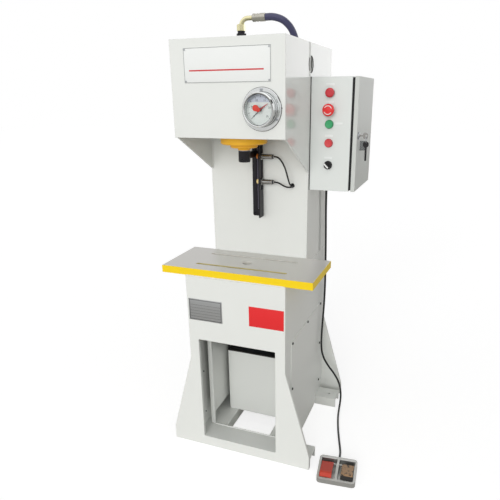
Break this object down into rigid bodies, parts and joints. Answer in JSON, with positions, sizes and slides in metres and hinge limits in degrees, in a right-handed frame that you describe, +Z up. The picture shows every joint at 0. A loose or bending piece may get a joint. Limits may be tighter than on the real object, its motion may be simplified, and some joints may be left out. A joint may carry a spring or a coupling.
{
  "type": "c-frame hydraulic press",
  "caption": "C-frame hydraulic press with slotted work table, guided ram, contact pressure gauge, side control box, oil unit in the base and dual-pedal foot switch.",
  "frame": {"origin": "on the floor, in the middle of the four foot bolt holes", "axes": "+Z up, -Y towards the operator, +X towards the control box"},
  "size_m": [0.7893, 0.637, 1.6545],
  "materials": {
    "grey_paint": "semi-gloss powder coat, off-white grey",
    "box_paint": "semi-gloss enamel, light grey",
    "yellow_paint": "semi-gloss enamel, safety yellow",
    "table_steel": "ground steel top, yellow painted edges",
    "black_paint": "blackened steel, satin",
    "chrome": "hard chromed and polished",
    "zinc_steel": "zinc plated",
    "polished_steel": "polished stainless steel",
    "brass_zinc": "pale passivated",
    "steel": "machined steel, lightly oiled",
    "nickel": "nickel plated brass thread",
    "black_rubber": "matt",
    "hose_rubber": "smooth dark blue-grey cover",
    "cable_black": "satin cable sheath",
    "tank_paint": "grey enamel",
    "motor_paint": "blue-grey enamel",
    "valve_steel": "phosphated",
    "dial_white": "matt printed",
    "black_plastic": "satin",
    "glass": "clear",
    "pointer_black": "matt",
    "pointer_red": "matt",
    "pointer_green": "matt",
    "knob_red": "gloss",
    "foam": "foam strip",
    "lamp_red": "translucent",
    "stop_red": "gloss",
    "push_green": "satin gloss",
    "push_red": "satin gloss",
    "cast_aluminium": "die cast, bare",
    "pedal_red": "enamel, worn",
    "pedal_black": "enamel, worn to the metal",
    "strap_black": "woven cord"
  },
  "bodies": {
    "frame": {"base_rails": "grey_paint", "base_front_plate": "grey_paint", "base_sides": "grey_paint", "inner_stiffeners": "grey_paint", "side_covers": "grey_paint", "column_back_plate": "grey_paint", "column_sides": "grey_paint", "column_front_plate": "grey_paint", "head_front_plate": "grey_paint", "head_sides": "grey_paint", "top_plate": "grey_paint", "head_floor_plate": "grey_paint", "work_table": "table_steel", "cylinder_flange": "yellow_paint", "cylinder_barrel": "steel", "guide_bracket": "black_paint", "upper_sensor": "nickel", "lower_sensor": "nickel", "sensor_nuts": "nickel", "cable_grommet": "black_rubber", "upper_sensor_cable": "cable_black", "lower_sensor_cable": "cable_black", "port_adaptor": "black_paint", "hose_elbow": "zinc_steel", "valve_block": "valve_steel", "pressure_hose": "hose_rubber", "return_hose": "hose_rubber", "oil_tank": "tank_paint", "tank_lid": "tank_paint", "pump_motor": "motor_paint", "gear_pump": "steel", "gauge_case": "polished_steel", "gauge_dial": "dial_white", "gauge_glass": "glass", "control_box": "box_paint", "device_bezels": "zinc_steel", "pilot_lamp": "lamp_red", "cable_gland": "black_plastic", "foot_switch_housing": "cast_aluminium", "cable_boot": "black_rubber", "foot_switch_cable": "cable_black"},
    "ram": {"piston_rod": "chrome", "ram_collar": "black_paint"},
    "pressure_hand": {"gauge_pointer": "pointer_black"},
    "low_hand": {"gauge_low_hand": "pointer_green"},
    "high_hand": {"gauge_high_hand": "pointer_red"},
    "setting_knob": {"gauge_knob": "knob_red"},
    "door": {"control_box_door": "box_paint", "door_seal": "foam", "lock_barrel": "zinc_steel"},
    "key": {"lock_key": "zinc_steel", "key_ring": "zinc_steel", "spare_key": "zinc_steel", "key_strap": "strap_black"},
    "emergency_stop": {"estop_button": "stop_red"},
    "start_button": {"green_button": "push_green"},
    "stop_button": {"red_button": "push_red"},
    "selector": {"selector_knob": "black_plastic"},
    "left_pedal": {"red_pedal": "pedal_red"},
    "right_pedal": {"black_pedal": "pedal_black"}
  },
  "joints": [
    {"name": "ram_slide", "type": "slide", "parent": "frame", "child": "ram", "axis": [0, 0, -1], "range_m": [0, 0.2]},
    {"name": "pressure_reading", "type": "hinge", "parent": "frame", "child": "pressure_hand", "pos_m": [0.122, -0.287, 1.361], "axis": [0, 1, 0], "range_deg": [0, 264], "stiffness_Nm_per_rad": 0.0001},
    {"name": "low_limit", "type": "hinge", "parent": "frame", "child": "low_hand", "pos_m": [0.122, -0.289, 1.361], "axis": [0, 1, 0], "range_deg": [-62, 202]},
    {"name": "high_limit", "type": "hinge", "parent": "frame", "child": "high_hand", "pos_m": [0.122, -0.291, 1.361], "axis": [0, 1, 0], "range_deg": [-188, 76]},
    {"name": "limit_setting", "type": "hinge", "parent": "frame", "child": "setting_knob", "pos_m": [0.122, -0.304, 1.361], "axis": [0, 1, 0], "range_deg": [-150, 150]},
    {"name": "door_hinge", "type": "hinge", "parent": "frame", "child": "door", "pos_m": [0.356, 0.3135, 1.264], "axis": [0, 0, 1], "range_deg": [0, 110]},
    {"name": "key_turn", "type": "hinge", "parent": "door", "child": "key", "pos_m": [0.38, 0.033, 1.264], "axis": [1, 0, 0], "range_deg": [0, 90]},
    {"name": "emergency_stop_press", "type": "slide", "parent": "frame", "child": "emergency_stop", "axis": [0, 1, 0], "range_m": [0, 0.004]},
    {"name": "start_press", "type": "slide", "parent": "frame", "child": "start_button", "axis": [0, 1, 0], "range_m": [0, 0.0035], "stiffness_N_per_m": 900},
    {"name": "stop_press", "type": "slide", "parent": "frame", "child": "stop_button", "axis": [0, 1, 0], "range_m": [0, 0.0035], "stiffness_N_per_m": 900},
    {"name": "selector_turn", "type": "hinge", "parent": "frame", "child": "selector", "pos_m": [0.272, 0, 1.159], "axis": [0, 1, 0], "range_deg": [0, 90]},
    {"name": "left_pedal_press", "type": "hinge", "parent": "frame", "child": "left_pedal", "pos_m": [0.40818, -0.22765, 0.025], "axis": [0.9945, 0.1045, 0], "range_deg": [0, 7], "stiffness_Nm_per_rad": 12, "springref_deg": -6.88},
    {"name": "right_pedal_press", "type": "hinge", "parent": "frame", "child": "right_pedal", "pos_m": [0.40818, -0.22765, 0.025], "axis": [0.9945, 0.1045, 0], "range_deg": [0, 7], "stiffness_Nm_per_rad": 12, "springref_deg": -6.88}
  ]
}
